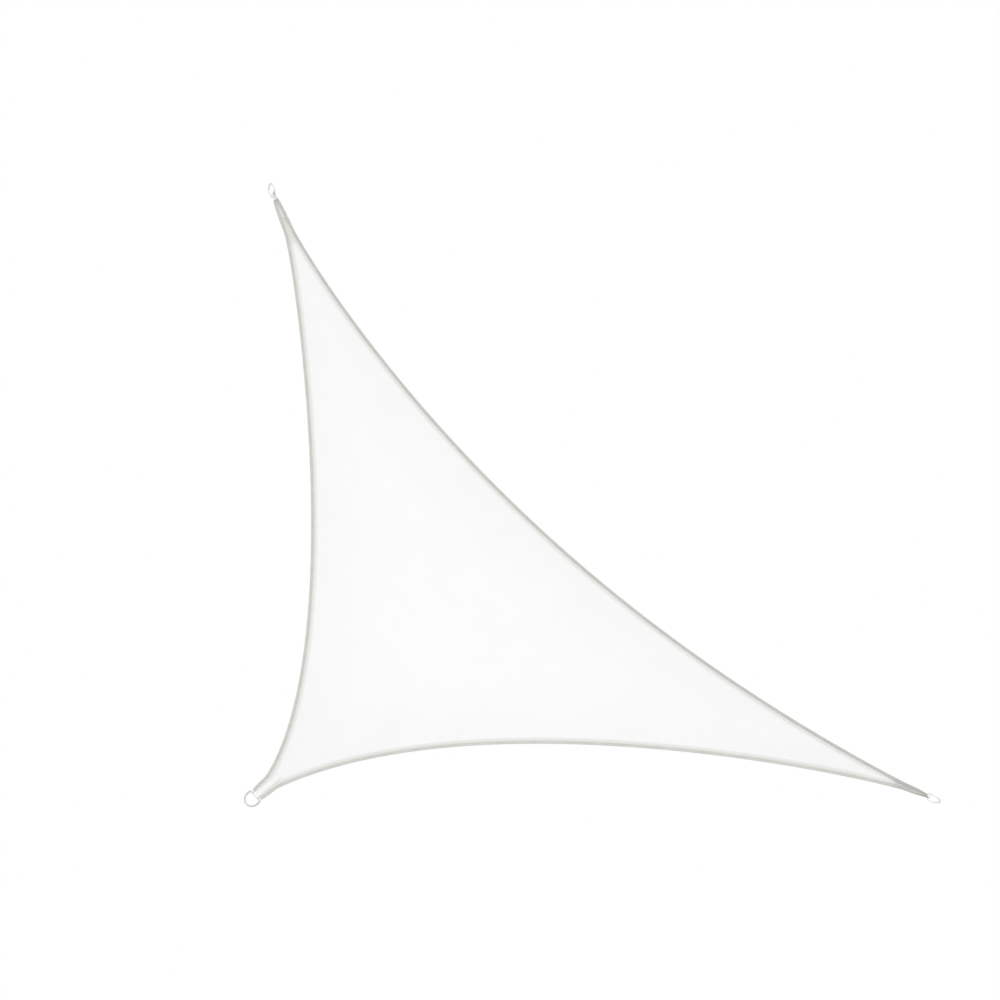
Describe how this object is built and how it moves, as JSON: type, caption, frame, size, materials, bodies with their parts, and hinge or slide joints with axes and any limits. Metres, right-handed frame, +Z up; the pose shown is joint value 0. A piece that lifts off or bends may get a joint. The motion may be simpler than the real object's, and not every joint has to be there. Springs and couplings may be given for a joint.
{
  "type": "triangular shade sail",
  "caption": "Right-angled triangular sun shade of knitted cloth with hollow-cut, tape-bound edges, stretched between steel D-rings at its corners.",
  "frame": {"origin": "hook bearing point inside the D-ring of the square corner, at the mount square_ring", "axes": "+X along the level short side towards the side corner, +Y and +Z up the 30 degree slope towards the top corner, +Z up"},
  "size_m": [3.0236, 2.6319, 1.5343],
  "materials": {
    "knitted_cloth": "matte knitted polyethylene",
    "binding_tape": "matte woven tape",
    "webbing": "woven polyester webbing",
    "ring_steel": "polished stainless steel"
  },
  "bodies": {
    "root": {"sail_cloth": "knitted_cloth", "tape_bottom": "binding_tape", "tape_long": "binding_tape", "tape_left": "binding_tape", "strap_square": "webbing", "strap_side": "webbing", "strap_top": "webbing", "ring_square": "ring_steel", "ring_side": "ring_steel", "ring_top": "ring_steel"}
  },
  "joints": []
}
